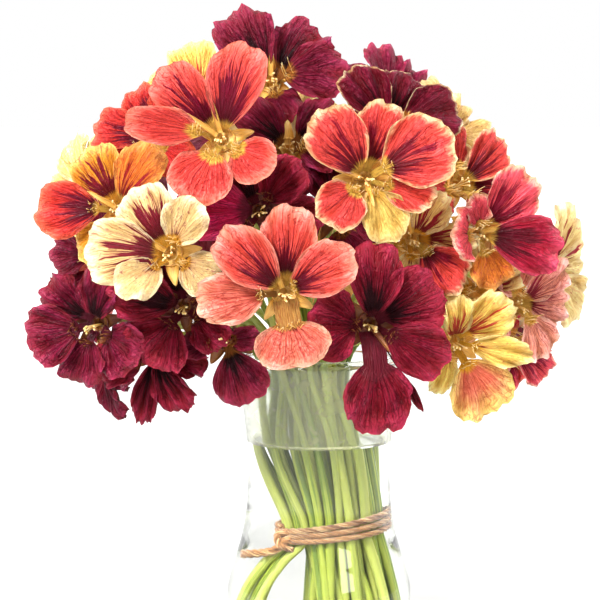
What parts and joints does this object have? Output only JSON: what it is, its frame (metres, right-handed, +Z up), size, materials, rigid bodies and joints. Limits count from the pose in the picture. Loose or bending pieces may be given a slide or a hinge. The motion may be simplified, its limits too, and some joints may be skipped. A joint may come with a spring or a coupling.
{
  "type": "nasturtium bouquet in a vase",
  "caption": "Cut nasturtium blooms in coral, crimson, cream and gold, tied with jute twine and standing in a waisted clear glass vase of water.",
  "frame": {"origin": "centre of the vase's flat foot", "axes": "+Z up, -Y towards the side of the bouquet that is dressed to be looked at"},
  "size_m": [0.2328, 0.18, 0.2675],
  "materials": {
    "glass": "clear polished glass",
    "water": "clear still water",
    "jute": "twisted jute twine",
    "stem": "smooth juicy green stem",
    "petal_coral": "coral petal, crimson at the base",
    "petal_salmon": "pale salmon petal",
    "petal_scarlet": "scarlet petal, crimson at the base",
    "petal_crimson": "velvety crimson petal",
    "petal_claret": "near-black claret petal",
    "petal_magenta": "plum petal with fine veins",
    "petal_cream": "cream petal with crimson splashes",
    "petal_gold": "golden petal with crimson feathering",
    "petal_yellow": "bright yellow petal with orange streaks",
    "calyx": "golden cup, sepals and spur",
    "stamen": "pale stamens and throat fringe"
  },
  "bodies": {
    "root": {"vase": "glass", "water": "water", "twine": "jute", "stems": "stem", "bloom_coral_heart": "petal_coral", "bloom_cream_splash": "petal_cream", "bloom_crimson_front": "petal_crimson", "bloom_coral_crown": "petal_coral", "bloom_coral_cream": "petal_coral", "bloom_yellow_fall": "petal_yellow", "bloom_ruby_right": "petal_scarlet", "bloom_gold_left": "petal_gold", "bloom_claret_top": "petal_claret", "bloom_plum_low_left": "petal_magenta", "bloom_cream_crumple": "petal_cream", "bloom_cream_streak": "petal_cream", "bloom_claret_low": "petal_crimson", "bloom_lone_claret": "petal_claret", "bloom_claret_mid": "petal_claret", "bloom_velvet_mid": "petal_crimson", "bloom_velvet_shade": "petal_claret", "bloom_plum_fold": "petal_claret", "bloom_magenta_tip": "petal_magenta", "bloom_coral_side": "petal_coral", "bloom_scarlet_left": "petal_scarlet", "bloom_yellow_back": "petal_yellow", "bloom_plum_left": "petal_magenta", "bloom_claret_hang": "petal_crimson", "bloom_salmon_right": "petal_salmon", "bloom_rose_low_right": "petal_scarlet", "bloom_cream_right": "petal_cream", "bloom_pale_left": "petal_yellow", "bloom_apricot_curl": "petal_salmon", "bloom_crimson_under_left": "petal_magenta", "bloom_coral_back_left": "petal_coral", "bloom_crimson_back_low": "petal_crimson", "bloom_gold_back_low": "petal_gold", "bloom_coral_back_right": "petal_coral", "bloom_claret_back_right": "petal_claret", "bloom_cream_back_high": "petal_cream", "bloom_crimson_back_high": "petal_crimson", "bloom_magenta_back_high": "petal_magenta"}
  },
  "joints": []
}
